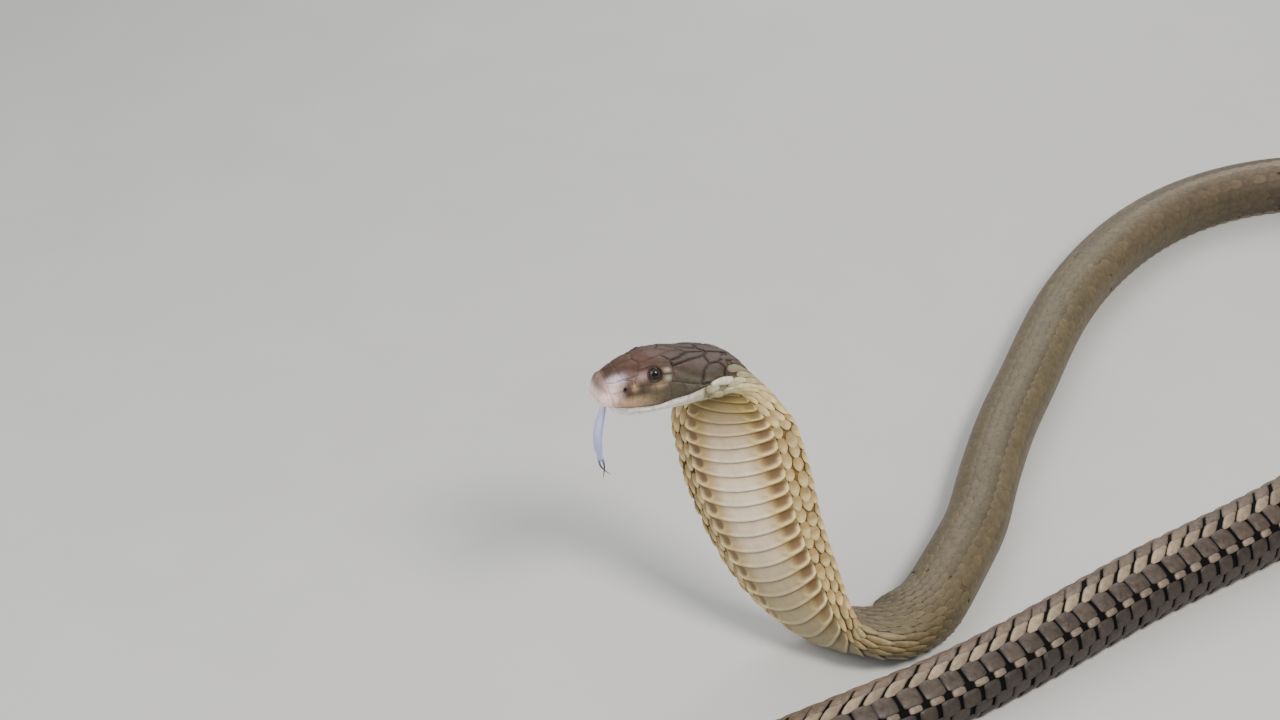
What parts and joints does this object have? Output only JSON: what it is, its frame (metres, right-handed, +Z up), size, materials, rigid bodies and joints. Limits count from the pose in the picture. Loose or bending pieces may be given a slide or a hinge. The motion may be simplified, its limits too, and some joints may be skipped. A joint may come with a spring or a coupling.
{
  "type": "king cobra",
  "caption": "Life-size king cobra, still: head and narrow hood reared with the forked tongue out, long scaled body lying in a loop behind it.",
  "frame": {"origin": "middle of the model's box, at the floor it lies on", "axes": "+Z up, -X roughly the way the head faces, +Y away from the viewer of the picture; the long loop of the body runs along X"},
  "size_m": [1.0428, 0.6739, 0.1766],
  "materials": {
    "head_shields": "satin",
    "throat_and_plates": "satin",
    "olive_scales": "satin",
    "banded_scales": "satin",
    "eye": "gloss",
    "tongue": "moist"
  },
  "bodies": {
    "root": {"head": "head_shields", "lower_jaw": "throat_and_plates", "eye_left": "eye", "eye_right": "eye", "tongue": "tongue", "hood": "throat_and_plates", "neck_1": "throat_and_plates", "neck_2": "olive_scales", "fore_body_1": "olive_scales", "fore_body_2": "olive_scales", "mid_body_1": "olive_scales", "mid_body_2": "olive_scales", "mid_body_3": "olive_scales", "mid_body_4": "banded_scales", "mid_body_5": "banded_scales", "mid_body_6": "banded_scales", "rear_body_1": "banded_scales", "rear_body_2": "banded_scales", "tail_1": "banded_scales", "tail_2": "banded_scales", "tail_3": "banded_scales", "tail_4": "banded_scales"}
  },
  "joints": []
}
